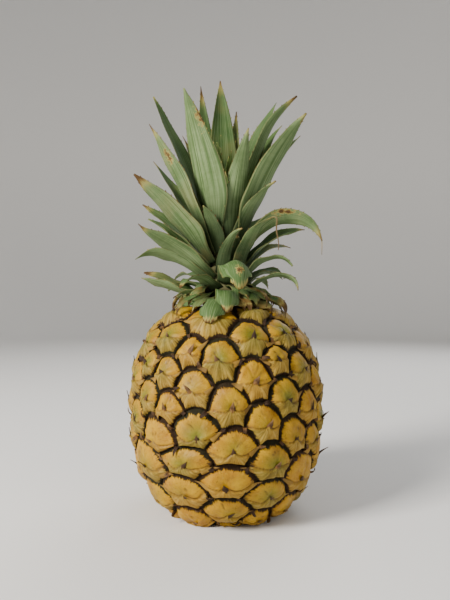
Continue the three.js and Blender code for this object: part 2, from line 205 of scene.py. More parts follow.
class Finish:
    def __init__(self, name):
        self.material = bpy.data.materials.new(name)
        self.material.use_nodes = True
        self.tree = self.material.node_tree
        self.shader = self.tree.nodes["Principled BSDF"]

    def node(self, kind, **settings):
        made = self.tree.nodes.new(kind)
        for label, value in settings.items():
            setattr(made, label, value)
        return made

    def plug(self, source, target):
        self.tree.links.new(source, target)

    def stored(self, label):  # a value kept on the mesh's points
        return self.node("ShaderNodeAttribute", attribute_name=label).outputs["Fac"]

    def place(self):
        return self.node("ShaderNodeTexCoord").outputs["Object"]

    def fill(self, socket, part):  # with a colour, a number or the output of another node
        if isinstance(part, tuple):
            socket.default_value = (*part, 1)
        elif isinstance(part, (int, float)):
            socket.default_value = part
        else:
            self.plug(part, socket)

    def combine(self, *parts):
        joined = self.node("ShaderNodeCombineXYZ")
        for socket, part in zip(joined.inputs, parts):
            self.fill(socket, part)
        return joined.outputs[0]

    def sums(self, operation, *parts):
        made = self.node("ShaderNodeMath", operation=operation)
        for socket, part in zip(made.inputs, parts):
            self.fill(socket, part)
        return made.outputs[0]

    def times(self, first, second):
        return self.sums("MULTIPLY", first, second)

    def less(self, first, second):
        return self.sums("SUBTRACT", first, second)

    def plus(self, total, *parts):
        for part in parts:
            total = self.sums("ADD", total, part)
        return total

    def grain(self, vector, scale, detail=3, roughness=0.55):
        made = self.node("ShaderNodeTexNoise")
        self.plug(vector, made.inputs["Vector"])
        made.inputs["Scale"].default_value = scale
        made.inputs["Detail"].default_value = detail
        made.inputs["Roughness"].default_value = roughness
        return made.outputs["Fac"]

    def ramp(self, value, *stops):  # each stop is (place, colour or number)
        made = self.node("ShaderNodeValToRGB")
        self.plug(value, made.inputs["Fac"])
        elements = made.color_ramp.elements
        while len(elements) < len(stops):
            elements.new(0.5)
        for element, (place, tone) in zip(elements, stops):
            element.position = place
            element.color = (*tone, 1) if isinstance(tone, tuple) else (tone, tone, tone, 1)
        return made.outputs["Color"]

    def blend(self, share, first, second):
        made = self.node("ShaderNodeMix", data_type="RGBA")
        for socket, part in ((made.inputs[0], share), (made.inputs[6], first), (made.inputs[7], second)):
            self.fill(socket, part)
        return made.outputs[2]

    def cover(self, body, tone, value, *stops):  # lays a tone over the body where a value says so
        return self.blend(self.ramp(value, *stops), body, tone)

    def relief(self, height, strength, distance, below=None):
        made = self.node("ShaderNodeBump")
        made.inputs["Strength"].default_value = strength
        made.inputs["Distance"].default_value = distance
        self.plug(height, made.inputs["Height"])
        if below is not None:
            self.plug(below, made.inputs["Normal"])
        return made.outputs["Normal"]

    def finish(self, colour, roughness, normal, specular=0.4):
        self.plug(colour, self.shader.inputs["Base Color"])
        self.plug(roughness, self.shader.inputs["Roughness"])
        self.plug(normal, self.shader.inputs["Normal"])
        self.shader.inputs["Specular IOR Level"].default_value = specular
        return self.material


# Rind: the barrel of the fruit with every eye in full relief

rind = {
    "bellyRadius": 60 * mm,
    "bellyHeight": 64 * mm,
    "reachDown": 72 * mm,
    "reachUp": 68.5 * mm,
    "squareness": 2.4,
    "crownSeat": 128.5 * mm,
    "shoulderSoftness": 1.6 * mm,
    "spiralPlaces": 123,
    "lastPlace": 117,
    "goldenTurn": 137.508,             # degrees
    "spiralStart": 127,
    "spiralDrift": (0, 25, -11),
    "profileSteps": 4000,
    "settleSteps": 6,                  # free eyes move towards the middle of their outline
    "settleShare": 0.8,
    # eyes at the front stay where this fruit has them: place, then turn and height in mm
    "frontEyes": {
        95: (33, 99), 90: (-4, 99), 82: (15, 88), 77: (-18, 83), 74: (34, 77), 69: (3, 74),
        64: (-34, 72), 61: (22, 64), 56: (-15, 58), 53: (40, 55), 51: (-43, 53), 48: (4, 51),
        43: (-24, 43), 40: (28, 42), 35: (0, 31), 30: (-26, 25), 27: (27, 23), 22: (1, 13),
    },
    "edgeArch": 0.08,
    "grooveDepth": 2.3 * mm,
    "eyeRise": 1.3 * mm,
    "eyeUnevenness": 0.35 * mm,
    "lipRise": 0.8 * mm,
    "domeSharpness": 4,
    "edgeSteps": 8,                    # mesh steps along the groove between two eyes
    "rings": (0.12, 0.24, 0.35, 0.45, 0.54, 0.62, 0.69, 0.75, 0.80, 0.845, 0.885, 0.92, 0.945, 0.965, 0.985),
    "raggedness": 0.10,                # how far the groove's rim wanders
    "wrinkle": 0.9 * mm,               # radial folds along the rim
    "lump": 0.8 * mm,
    "pucker": 0.28 * mm,               # small bumps all over an eye
    "sutureDepth": 0.35 * mm,          # shallow valleys between the upper lobes
    "bractLift": 0.9 * mm,             # the scale over the lower part of an eye
    "creaseDepth": 0.45 * mm,
    "lobeSwell": 0.35 * mm,
    "cupDepth": 0.3 * mm,
    "crackDepth": 0.45 * mm,
    "seeds": (0.37, 61.0),             # spread over the eyes, so that no two are alike
    "undersideRelief": 0.7,
    "undersideDepth": 6 * mm,          # of the round skin under the ground, where the relief is full
    "scarRadius": 13 * mm,
    "scarFloor": 0.75,                 # share of its radius that is level
    "scarDepth": 2.4 * mm,
}

eyeShape = {
    # places and sizes as shares of the way from an eye's middle to its rim
    "margin": -0.10,                   # upper edge of the scale: a point between two sagging lobes
    "sag": (0.17, 0.09),               # and how much it varies
    "pointWidth": 0.19,
    "wingFrom": 0.34,
    "wingRise": 0.34,
    "waver": 0.07,
    "bractEdge": (-0.03, 0.02),        # from full to none, over the margin
    "bractFade": 0.4,                  # how fast the scale thins below it
    "crease": (0.045, 0.045),          # height over the margin, and width
    "lobeHeight": (0.22, 0.16),
    "lobeAside": (0.38, 0.24),
    "cup": (0.1, 0.014),
    "crackAside": 0.30,
    "crackHeight": (0.38, 0.14),
    "crackLean": 1.2,                  # radians to either side
    "crackWidth": 0.028,
    "crackReach": (0.08, 0.2),
    "sutureAngle": (0.62, 0.13),       # radians from the top, and width
    "sutureReach": (0.15, 0.4),
    "sutureTurn": 0.35,
    "rimFolds": (3.2, 8),              # large and small
    "lumps": 2.2,                      # over an eye
    "puckers": 7,
    "reliefEnd": (0.86, 0.99),         # where the eye's own relief fades out
    "grooveFrom": 0.85,
    "grooveFull": 0.965,
    "grooveShadeSpread": 0.21,              # how much sooner the dark groove starts at the top of an eye: painted shade under the eye above
    "fanFrom": 0.10,                   # height of the place that the scale's streaks run from
}

rindTones = {
    "unripe": 2.2,                     # how much greener each metre further up
    "gold": (0.35, 0.150, 0.001),
    "paleGold": (0.55, 0.300, 0.003),
    "greenGold": (0.16, 0.150, 0.008),
    "bract": (0.32, 0.175, 0.020),
    "bractGreen": (0.14, 0.125, 0.018),
    # groove tones: the groove's own dark colour, darkened further as painted shade
    "groove": (0.026, 0.011, 0.003),
    "grooveGreen": (0.015, 0.013, 0.003),
    "crack": (0.040, 0.016, 0.005),
    "fuzz": (0.46, 0.33, 0.09),
}


def seededDraws(seed):  # the model's own draws, so that its eyes and these rise alike
    state, span = seed, 2 ** 32
    while True:
        state = (state * 1664525 + 1013904223) % span
        yield state / span


def barrelReach(directions):  # distance from the barrel's middle to its bare skin
    across = np.hypot(directions[..., 0], directions[..., 1]) / rind["bellyRadius"]
    reach = np.where(directions[..., 2] > 0, rind["reachUp"], rind["reachDown"])
    along = np.abs(directions[..., 2]) / reach
    power = rind["squareness"]
    return (across ** power + along ** power) ** (-1 / power)


def levelTop(height):
    soft = rind["shoulderSoftness"]
    return rind["crownSeat"] - soft * np.log1p(np.exp((rind["crownSeat"] - height) / soft))


def skinDirection(turn, height):  # from the barrel's middle to its bare skin
    climb = height - rind["bellyHeight"]
    along = abs(climb) / (rind["reachUp"] if climb > 0 else rind["reachDown"])
    radius = rind["bellyRadius"] * (1 - along ** rind["squareness"]) ** (1 / rind["squareness"])
    return turned(unit(np.array((0, -radius, climb))), turn)


def eyeDirections():  # growth spiral, each eye with the same share of the skin
    angles = np.linspace(0, math.pi, rind["profileSteps"] + 1)
    profile = np.stack((np.sin(angles), np.zeros_like(angles), -np.cos(angles)), axis=-1)
    profile *= barrelReach(profile)[:, None]
    step = np.diff(profile, axis=0)
    bands = np.hypot(step[:, 0], step[:, 2]) * (profile[1:, 0] + profile[:-1, 0])
    shares = np.concatenate(([0], np.cumsum(bands)))
    places = np.arange(1, rind["lastPlace"] + 1)
    wanted = places / rind["spiralPlaces"] * shares[-1]
    angle = np.interp(wanted, shares, angles)
    straight = np.stack((np.zeros_like(angle), -np.sin(angle), -np.cos(angle)), axis=-1)
    climb = straight[:, 2] * barrelReach(straight) / rind["bellyHeight"]
    drift = sum(amount * climb ** (k + 1) for k, amount in enumerate(rind["spiralDrift"]))
    turns = rind["spiralStart"] - rind["goldenTurn"] * places + drift
    directions = np.array([turned(each, turn) for each, turn in zip(straight, turns)])
    for place, (turn, height) in rind["frontEyes"].items():
        directions[place - 1] = skinDirection(turn, height * mm)
    return directions


def neighbourTriangles(sites):  # hull of the directions, every triangle facing out
    shape = bmesh.new()
    corners = [shape.verts.new(site) for site in sites]
    shape.verts.index_update()
    bmesh.ops.convex_hull(shape, input=corners)
    bmesh.ops.triangulate(shape, faces=shape.faces[:])
    triangles = []
    for face in shape.faces:
        a, b, c = (corner.index for corner in face.verts)
        outside = np.dot(np.cross(sites[b] - sites[a], sites[c] - sites[a]), sites[a])
        triangles.append((a, b, c) if outside > 0 else (a, c, b))
    shape.free()
    return triangles


def settledSites():  # eyes and the two ends of the fruit, after the free eyes have settled
    sites = np.concatenate((eyeDirections(), [[0, 0, -1], [0, 0, 1]]))
    places = np.arange(1, len(sites) + 1)
    free = (places <= rind["lastPlace"]) & ~np.isin(places, list(rind["frontEyes"]))
    for _ in range(rind["settleSteps"]):
        triangles = np.array(neighbourTriangles(sites))
        corners = unit(sites[triangles].sum(axis=1))
        middles = np.zeros_like(sites)
        for k in range(3):
            np.add.at(middles, triangles[:, k], corners)
        moved = unit(mix(sites, unit(middles), rind["settleShare"]))
        sites = np.where(free[:, None], moved, sites)
    return sites


class EyeMap:  # where every eye lies and how its outline runs
    def __init__(self):
        self.sites = settledSites()
        self.eyeCount = rind["lastPlace"]
        self.fans = [{} for _ in self.sites]
        self.corners = []
        for a, b, c in neighbourTriangles(self.sites):
            index = len(self.corners)
            self.corners.append(unit(self.sites[a] + self.sites[b] + self.sites[c]))
            self.fans[a][b] = (c, index)
            self.fans[b][c] = (a, index)
            self.fans[c][a] = (b, index)
        draws = seededDraws(7)
        self.rises = np.array([
            rind["eyeRise"] + rind["eyeUnevenness"] * (2 * next(draws) - 1)
            for _ in range(self.eyeCount)] + [0, 0])

    def outline(self, site):  # corner and neighbour pairs round one eye, in order
        fan = self.fans[site]
        at = next(iter(fan))
        walk = []
        for _ in fan:
            following, corner = fan[at]
            walk.append((corner, following))
            at = following
        return walk

    def edge(self, site, neighbour, start, end):  # points between two corners, arched upwards
        step = self.sites[neighbour] - self.sites[site]
        bend = rind["edgeArch"] * step[2] / np.linalg.norm(step)
        first, last = self.corners[start], self.corners[end]
        middle = unit(unit(first + last) + step * bend)
        pull = 2 * middle - (first + last) / 2
        steps = rind["edgeSteps"]
        share = (np.arange(1, steps) / steps)[:, None]
        return unit((1 - share) ** 2 * first + 2 * share * (1 - share) * pull + share ** 2 * last)

    def span(self, site):  # mean distance from an eye's middle to its outline, as an angle
        return np.mean([np.linalg.norm(self.corners[corner] - self.sites[site])
                        for corner, _ in self.outline(site)])


def varied(seed, stride):  # a number between -1 and 1 that is different for every eye
    return np.sin(seed * stride)


def bractMargin(across, seed):
    side = np.abs(across)
    sag = eyeShape["sag"][0] + eyeShape["sag"][1] * varied(seed, 71)
    point = sag * np.exp(-(side / eyeShape["pointWidth"]) ** 1.5)
    rise = eyeShape["wingRise"] * np.maximum(0, side - eyeShape["wingFrom"]) ** 1.2
    return eyeShape["margin"] - sag + point + rise + eyeShape["waver"] * ripple(across * 2.4, seed, 0.3)


def eyeRelief(rho, across, along, seed, rise, isEye):
    # rho runs from the middle of an eye to its outline; across and along are its own
    # sideways and uphill shares of that way
    shape = eyeShape
    reach = np.maximum(rho, 1e-6)
    sideness, upness = across / reach, along / reach
    large, small = shape["rimFolds"]
    rim = ripple(sideness * large + seed, upness * large, seed + rho * 1.5)
    fine = ripple(sideness * small + seed, upness * small, seed + rho * 3)
    edge = np.clip(rho + rind["raggedness"] * rim * rho ** 3 + 0.03 * fine * rho ** 4, 0, 1)
    lip = rind["lipRise"] * np.maximum(0, -upness) * rho * isEye
    sharpness = rind["domeSharpness"] * (1 - 0.3 * np.clip(upness, 0, 1))
    height = -rind["grooveDepth"] + (rind["grooveDepth"] + rise + lip) * (1 - edge ** sharpness)
    inside = 1 - softStep(edge, *shape["reliefEnd"])

    above = along - bractMargin(across, seed)
    bract = (1 - softStep(above, *shape["bractEdge"])) * isEye
    height += rind["bractLift"] * bract * np.exp(np.minimum(above, 0) / shape["bractFade"]) * inside
    crease = hump(above, *shape["crease"]) * inside * isEye
    height -= rind["creaseDepth"] * crease
    lobes = hump(above, *shape["lobeHeight"]) * hump(np.abs(across), *shape["lobeAside"]) * isEye
    height += rind["lobeSwell"] * lobes * inside
    cupPlace, cupSize = shape["cup"]
    height -= rind["cupDepth"] * np.exp(-(across ** 2 + (along - cupPlace) ** 2) / cupSize) * isEye

    lean = varied(seed, 37) * shape["crackLean"]   # of a short crack in the upper half
    crackX = shape["crackAside"] * varied(seed, 91)
    crackY = shape["crackHeight"][0] + shape["crackHeight"][1] * varied(seed, 53)
    runX = (across - crackX) * np.cos(lean) + (along - crackY) * np.sin(lean)
    runY = (along - crackY) * np.cos(lean) - (across - crackX) * np.sin(lean)
    crack = hump(runY, 0, shape["crackWidth"]) * (1 - softStep(np.abs(runX), *shape["crackReach"])) * isEye
    height -= rind["crackDepth"] * crack

    folds = rho ** 5 * inside * (0.4 + 0.6 * np.clip(upness, 0, 1))
    height += rind["wrinkle"] * fine * folds
    for label, repeats in (("lump", shape["lumps"]), ("pucker", shape["puckers"])):
        height += rind[label] * ripple(across * repeats + seed, along * repeats, seed) * inside
    steer = np.arctan2(across, along) + shape["sutureTurn"] * varied(seed, 29)
    suture = hump(np.abs(steer), *shape["sutureAngle"]) * softStep(rho, *shape["sutureReach"])
    height -= rind["sutureDepth"] * suture * inside * isEye
    # the groove mask reaches further in at the top of each eye: painted shade under the overhang of the eye
    # above
    start = shape["grooveFrom"] - shape["grooveShadeSpread"] * np.clip(upness, 0, 1) ** 0.7
    groove = softStep(edge, start, shape["grooveFull"])
    fan = np.arctan2(across, shape["fanFrom"] - along)
    return height, {"groove": groove, "bract": bract, "crease": np.clip(crease + crack, 0, 1),
                    "rho": rho, "sideways": sideness, "upness": upness, "fan": fan}


def slopeAt(middle):  # uphill and sideways along the skin, seen from an eye's middle
    uphill = np.array((0, 0, 1.0)) - middle * middle[2]
    uphill = unit(uphill) if np.linalg.norm(uphill) > 0.01 else np.array((0, 1.0, 0))
    return uphill, np.cross(uphill, middle)


def skinPoints(directions, height):  # puts points on the barrel, levelled at both ends
    outward = unit(directions)
    points = outward * (barrelReach(outward) + height)[:, None]
    full = points[:, 2] + rind["bellyHeight"]
    sunk = softStep(-full, 0, rind["undersideDepth"])
    crest = rind["eyeRise"] + rind["eyeUnevenness"] + rind["bractLift"]
    lifted = sunk * np.maximum(crest - height, 0) * rind["undersideRelief"]
    radius = np.hypot(points[:, 0], points[:, 1])
    wall = softStep(radius, rind["scarFloor"] * rind["scarRadius"], rind["scarRadius"])
    pit = rind["scarDepth"] * (1 - wall)
    pit = np.where(full < rind["bellyHeight"], pit, 0)
    points[:, 2] = np.maximum(levelTop(full), 0) + lifted + pit
    return points


def eyeOutlines(eyeMap):  # the border points that neighbours share, and every eye's loop of them
    directions = list(eyeMap.corners)
    edges = {}
    outlines = []
    for site in range(len(eyeMap.sites)):
        walk = eyeMap.outline(site)
        outline = []
        for k, (corner, neighbour) in enumerate(walk):
            key = (min(site, neighbour), max(site, neighbour))
            if key in edges:
                between = edges[key][::-1]
            else:
                following = walk[(k + 1) % len(walk)][0]
                added = eyeMap.edge(site, neighbour, corner, following)
                between = list(range(len(directions), len(directions) + len(added)))
                edges[key] = between
                directions.extend(added)
            outline.extend([corner, *between])
        outlines.append(outline)
    return np.array(directions), outlines


def eyeRings(eyeMap, border, outlines):  # points inside every outline, and the faces between them
    nextPoint = len(border)
    faces = []
    rows = {"direction": [], "rho": [], "across": [], "along": [], "site": []}
    for site, outline in enumerate(outlines):
        middle = eyeMap.sites[site]
        uphill, sideways = slopeAt(middle)
        out = border[outline] - middle
        flat = unit(out)
        loops = []
        for rho in rind["rings"]:
            rows["direction"].append(middle + out * rho)
            rows["rho"].append(np.full(len(outline), rho))
            rows["across"].append(rho * flat @ sideways)
            rows["along"].append(rho * flat @ uphill)
            rows["site"].append(np.full(len(outline), site))
            loops.append(list(range(nextPoint, nextPoint + len(outline))))
            nextPoint += len(outline)
        loops.append(outline)
        rows["direction"].append(middle[None])
        for label in ("rho", "across", "along"):
            rows[label].append(np.zeros(1))
        rows["site"].append(np.full(1, site))
        for k in range(len(outline)):
            following = (k + 1) % len(outline)
            faces.append((nextPoint, loops[0][k], loops[0][following]))
            for inner, outer in zip(loops, loops[1:]):
                faces.append((inner[k], outer[k], outer[following], inner[following]))
        nextPoint += 1                 # the middle of the eye
    return {label: np.concatenate(parts) for label, parts in rows.items()}, faces


def growRind(eyeMap):
    border, outlines = eyeOutlines(eyeMap)
    inner, faces = eyeRings(eyeMap, border, outlines)
    site = inner["site"]
    isEye = (site < eyeMap.eyeCount).astype(float)
    seeds = np.linspace(*rind["seeds"], len(eyeMap.sites))
    height, masks = eyeRelief(inner["rho"], inner["across"], inner["along"], seeds[site],
                              eyeMap.rises[site], isEye)
    masks["tone"] = (varied(seeds, 12.9898) * 0.5 + 0.5)[site]
    borderMasks = {"groove": 1, "bract": 0, "crease": 0, "tone": 0.5, "rho": 1, "sideways": 0,
                   "upness": 0, "fan": 0}
    for label, value in borderMasks.items():
        masks[label] = np.concatenate((np.full(len(border), float(value)), masks[label]))
    heights = np.concatenate((np.full(len(border), -rind["grooveDepth"]), height))
    points = skinPoints(np.concatenate((border, inner["direction"])), heights)
    heap = Heap()
    heap.add(points, faces, **masks)
    piece = makePiece("rind", heap, rindFinish())
    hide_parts("fruit")


rindGrain = {
    # size of each pattern, in repeats for each metre
    "patch": 28,
    "blotch": 130,
    "fleck": 750,
    "pore": 1800,
    # repeats for each eye
    "folds": 10,
    "hairs": 34,
    "fan": 9,
    "eyeVariety": 50,                  # sets the pattern of one eye apart from the next
    "tear": 1.4,                       # how far folds and hairs cut into the groove's rim
    "tearBalance": 0.95,
    "fray": 1.1,
    "frayFrom": 0.86,                  # share of the way from an eye's middle to its rim
}


def rindFinish():
    tones, size = rindTones, rindGrain
    make = Finish("rindSkin")
    place = make.place()
    groove, bract = make.stored("groove"), make.stored("bract")
    crease, tone, rho = make.stored("crease"), make.stored("tone"), make.stored("rho")
    sideways, upness = make.stored("sideways"), make.stored("upness")
    seed = make.times(tone, size["eyeVariety"])
    patch = make.grain(place, size["patch"], detail=2)
    blotch = make.grain(place, size["blotch"], detail=5, roughness=0.6)
    fleck = make.grain(place, size["fleck"], detail=5, roughness=0.7)
    pore = make.grain(place, size["pore"])

    def roundTheRim(repeats, inwards, detail, roughness):  # pattern that runs in from an eye's rim
        route = make.combine(make.times(sideways, repeats), make.times(upness, repeats),
                             make.plus(make.times(rho, inwards), seed))
        return make.grain(route, 1, detail, roughness)

    fold = roundTheRim(size["folds"], 2.5, 4, 0.65)
    hairs = roundTheRim(size["hairs"], 4, 3, 0.6)
    streak = make.grain(make.combine(make.times(make.stored("fan"), size["fan"]), rho, seed), 1, 4, 0.65)

    # golden flesh of the eye, greener in its middle and towards the crown
    body = make.cover(tones["gold"], tones["paleGold"], blotch, (0.34, 0.0), (0.66, 1.0))
    heart = make.ramp(rho, (0.15, 1.0), (0.80, 0.10))
    rising = make.node("ShaderNodeSeparateXYZ")
    make.plug(place, rising.inputs[0])
    unripe = make.times(make.less(rising.outputs[2], rind["bellyHeight"]), tones["unripe"])
    shade = make.plus(make.times(tone, 0.30), patch, unripe)
    green = make.times(heart, make.ramp(shade, (0.45, 0.15), (0.80, 1.0)))
    body = make.blend(green, body, tones["greenGold"])

    # the scale over its lower part
    scale = make.cover(tones["bract"], tones["bractGreen"], shade, (0.45, 0.0), (0.80, 0.9))
    scale = make.cover(scale, tones["fuzz"], streak, (0.46, 0.0), (0.66, 0.65))
    scale = make.cover(scale, tones["crack"], streak, (0.30, 0.7), (0.46, 0.0))
    body = make.blend(make.times(bract, 0.8), body, scale)

    # frayed rim, flecks, and the dark groove with its torn edge; the groove has its own dark colour,
    # darkened further and widened at the top of each eye as painted shade
    frayed = make.plus(make.times(make.less(rho, size["frayFrom"]), size["fray"]), fold)
    body = make.cover(body, tones["crack"], frayed, (0.52, 0.0), (0.60, 0.9))
    body = make.cover(body, tones["crack"], fleck, (0.60, 0.0), (0.70, 0.75))
    body = make.cover(body, tones["fuzz"], fleck, (0.28, 0.5), (0.40, 0.0))
    deep = make.blend(tone, tones["groove"], tones["grooveGreen"])
    torn = make.less(make.plus(fold, make.times(hairs, 0.9)), size["tearBalance"])
    ragged = make.plus(groove, make.times(torn, size["tear"]))
    body = make.cover(body, deep, ragged, (0.26, 0.0), (0.50, 1.0))
    body = make.blend(make.times(crease, 0.75), body, tones["crack"])

    rough = make.ramp(make.plus(groove, make.times(bract, 0.5), fleck), (0.4, 0.42), (1.2, 0.85))
    normal = make.relief(pore, 0.3, 0.4 * mm)
    normal = make.relief(fleck, 0.3, 0.8 * mm, normal)
    normal = make.relief(make.blend(bract, make.times(fold, rho), streak), 0.7, 1.2 * mm, normal)
    make.plug(make.ramp(ragged, (0.15, 0.10), (0.45, 0.0)), make.shader.inputs["Coat Weight"])
    make.shader.inputs["Coat Roughness"].default_value = 0.35
    return make.finish(body, rough, normal, specular=0.22)


# Dry points of the scales, one in the middle of every eye

dryPoints = {
    "length": (3.5 * mm, 7.0 * mm),
    "width": (2.0 * mm, 3.6 * mm),
    "endWidth": 0.24 * mm,
    "thickness": 0.45 * mm,
    "lift": (0.2 * mm, 1.6 * mm),
    "clear": 0.5 * mm,                 # of its root over the eye
    "startBelow": 0.20,                # under the eye's middle, as a share of the eye
    "lean": 0.8,                       # radians to either side
    "standOut": ((86, 32, 10.0), (78, 62, 7.0), (-74, 30, 6.0), (70, 28, 8.0), (-60, 26, 7.0)),
    "proudLift": 0.6,                  # of its length; turn, height and length in mm above
    "steps": 8,
}

dryTones = {
    "base": (0.20, 0.085, 0.016),
    "middle": (0.055, 0.022, 0.007),
    "tip": (0.22, 0.12, 0.045),
    "grey": (0.32, 0.22, 0.10),
    "dark": (0.022, 0.010, 0.004),
}


def dryFinish(name, tones):
    make = Finish(name)
    along, tone = make.stored("along"), make.stored("tone")
    streak = make.grain(make.combine(make.stored("across"), make.times(along, 0.3), tone), 9, detail=4)
    body = make.ramp(along, (0.0, tones["base"]), (0.45, tones["middle"]), (1.0, tones["tip"]))
    body = make.cover(body, tones["grey"], streak, (0.50, 0.0), (0.72, 0.7))
    body = make.cover(body, tones["dark"], tone, (0.45, 0.0), (0.70, 0.9))
    rough = make.ramp(streak, (0.3, 0.6), (0.7, 0.85))
    return make.finish(body, rough, make.relief(streak, 0.6, 0.4 * mm), specular=0.25)


def stripShape(centres, sides, outs, widths, thick, cup):
    # a thin papery strip: centre line, its sideways and outward directions, half widths;
    # one that would reach into the ground is lifted onto it
    if np.dot(np.cross(sides[0], outs[0]), centres[1] - centres[0]) < 0:
        sides = -sides                 # so that the faces turn out
    places = np.array((-1.0, -0.5, 0.0, 0.5, 1.0))
    rings = []
    shares = []
    for k, (centre, side, out) in enumerate(zip(centres, sides, outs)):
        spread = side * (widths[k] * places)[:, None] + out * (cup[k] * places ** 2)[:, None]
        body = out * (thick * (1 - 0.7 * places ** 2) / 2)[:, None]
        rings.append(np.concatenate((centre + spread - body, (centre + spread + body)[::-1])))
        shares.append(k / (len(centres) - 1))
    count = 2 * len(places)
    values = {"along": np.repeat(shares, count),
              "across": np.tile(np.concatenate((places, places[::-1])), len(centres))}
    shape = np.concatenate(rings)
    shape[:, 2] += max(0, -shape[:, 2].min())
    return shape, ringFaces(len(rings), count), values


def growPoints(eyeMap):
    draws = random.Random(11)
    heap = Heap()
    middles = skinPoints(eyeMap.sites, eyeMap.rises)
    proud = {}
    for turn, height, length in dryPoints["standOut"]:
        spot = turned((0, -rind["bellyRadius"], height * mm), turn)
        proud[int(np.argmin(np.linalg.norm(middles - spot, axis=1)))] = length * mm
    share = np.linspace(0, 1, dryPoints["steps"])
    for site in range(eyeMap.eyeCount):
        middle = eyeMap.sites[site]
        uphill, sideways = slopeAt(middle)
        length = proud.get(site, draws.uniform(*dryPoints["length"]))
        half = draws.uniform(*dryPoints["width"]) / 2
        lift = dryPoints["proudLift"] * length if site in proud else draws.uniform(*dryPoints["lift"])
        lean = draws.uniform(-dryPoints["lean"], dryPoints["lean"])
        aim = uphill * math.cos(lean) + sideways * math.sin(lean)
        root = middle - dryPoints["startBelow"] * eyeMap.span(site) * uphill
        places = root + aim * (share * length)[:, None] / barrelReach(middle)
        centres = skinPoints(places, eyeMap.rises[site] + dryPoints["clear"] + lift * share ** 1.8)
        run = unit(np.gradient(centres, axis=0))
        across = unit(np.cross(run, middle))
        out = unit(np.cross(across, run))
        belly = 0.75 + 0.5 * np.sin(math.pi * share)
        widths = half * (1 - share ** 1.6) * belly + dryPoints["endWidth"] / 2
        cup = -0.45 * widths * (1 - share)
        shape, faces, values = stripShape(centres, across, out, widths, dryPoints["thickness"], cup)
        heap.add(shape, faces, tone=draws.random(), **values)
    return heap


# Curled dry scraps where eyes meet

scraps = {
    "share": 0.75,                     # of the corners between eyes
    "reach": (-0.86, 0.93),            # none nearer the ends of the fruit
    "length": (3.5 * mm, 6.5 * mm),
    "width": (1.6 * mm, 3.0 * mm),
    "thickness": 0.3 * mm,
    "rootDepth": 0.7,                  # share of the groove's depth
    "startRise": 75,                   # degrees
    "curl": (60, 190),                 # degrees from root to end
    "steps": 8,
    "tone": (0.4, 1),
}


def growScraps(eyeMap, heap):
    draws = random.Random(23)
    lowest, highest = scraps["reach"]
    for corner in eyeMap.corners:
        if draws.random() > scraps["share"] or not lowest <= corner[2] <= highest:
            continue
        root = skinPoints(corner[None], np.array([-scraps["rootDepth"] * rind["grooveDepth"]]))[0]
        out = unit(corner)
        turn = draws.uniform(-math.pi, math.pi)
        level = unit(np.cross((0, 0, 1.0), out))
        rise = np.cross(out, level)
        aim = level * math.cos(turn) + rise * math.sin(turn)
        side = np.cross(out, aim)
        length = draws.uniform(*scraps["length"])
        bend = math.radians(draws.uniform(*scraps["curl"]))
        share = np.linspace(0, 1, scraps["steps"])
        angle = math.radians(scraps["startRise"]) - bend * share
        step = length / (scraps["steps"] - 1)
        runs = aim * np.cos(angle)[:, None] + out * np.sin(angle)[:, None]
        centres = root + np.cumsum(runs, axis=0) * step
        normals = out * np.cos(angle)[:, None] - aim * np.sin(angle)[:, None]
        widths = draws.uniform(*scraps["width"]) / 2 * (1 - 0.75 * share ** 2)
        sides = np.repeat(side[None], len(share), axis=0)
        shape, faces, values = stripShape(centres, sides, normals, widths,
                                          scraps["thickness"], 0.5 * widths)
        heap.add(shape, faces, tone=draws.uniform(*scraps["tone"]), **values)


# Pointed wings of the scales, which lie across the grooves beside the eyes

wings = {
    "share": 0.75,                     # of the sides that have one
    "highest": 0.88,                   # none nearer the ends of the fruit
    "start": 0.58,                     # as a share of the way to the eye's side corner
    "end": (0.98, 1.22),
    "sag": 0.22,                       # how much lower a wing starts, as a share of the eye
    "lift": (0.6 * mm, -0.7 * mm, -0.4 * mm),   # over the bare skin: start, groove and end
    "width": (3.4 * mm, 5.2 * mm),
    "thickness": 0.35 * mm,
    "steps": 9,
    "tone": (0.1, 0.65),
}

wingTones = {
    "base": (0.30, 0.165, 0.020),
    "middle": (0.27, 0.155, 0.025),
    "tip": (0.10, 0.050, 0.014),
    "grey": (0.36, 0.24, 0.06),
    "dark": (0.07, 0.035, 0.010),
}


def growWings(eyeMap):
    draws = random.Random(41)
    heap = Heap()
    share = np.linspace(0, 1, wings["steps"])
    for site in range(eyeMap.eyeCount):
        middle = eyeMap.sites[site]
        uphill, sideways = slopeAt(middle)
        for hand in (-1, 1):
            if draws.random() > wings["share"] or abs(middle[2]) > wings["highest"]:
                continue
            corner = max((eyeMap.corners[corner] - middle for corner, _ in eyeMap.outline(site)),
                         key=lambda way: hand * np.dot(way, sideways))
            out = mix(wings["start"], draws.uniform(*wings["end"]), share)
            sag = wings["sag"] * eyeMap.span(site) * (1 - share) ** 1.2
            places = middle + out[:, None] * corner - sag[:, None] * uphill
            centres = skinPoints(places, np.interp(share, (0, 0.6, 1), wings["lift"]))
            outs = unit(places)
            sides = unit(np.cross(outs, np.gradient(centres, axis=0)))
            widths = draws.uniform(*wings["width"]) / 2 * (1 - 0.92 * share ** 1.2)
            shape, faces, values = stripShape(centres, sides, outs, widths,
                                              wings["thickness"], -0.3 * widths)
            heap.add(shape, faces, tone=draws.uniform(*wings["tone"]), **values)
    makePiece("scale_wings", heap, dryFinish("scaleWing", wingTones))


# Leaves of the crown

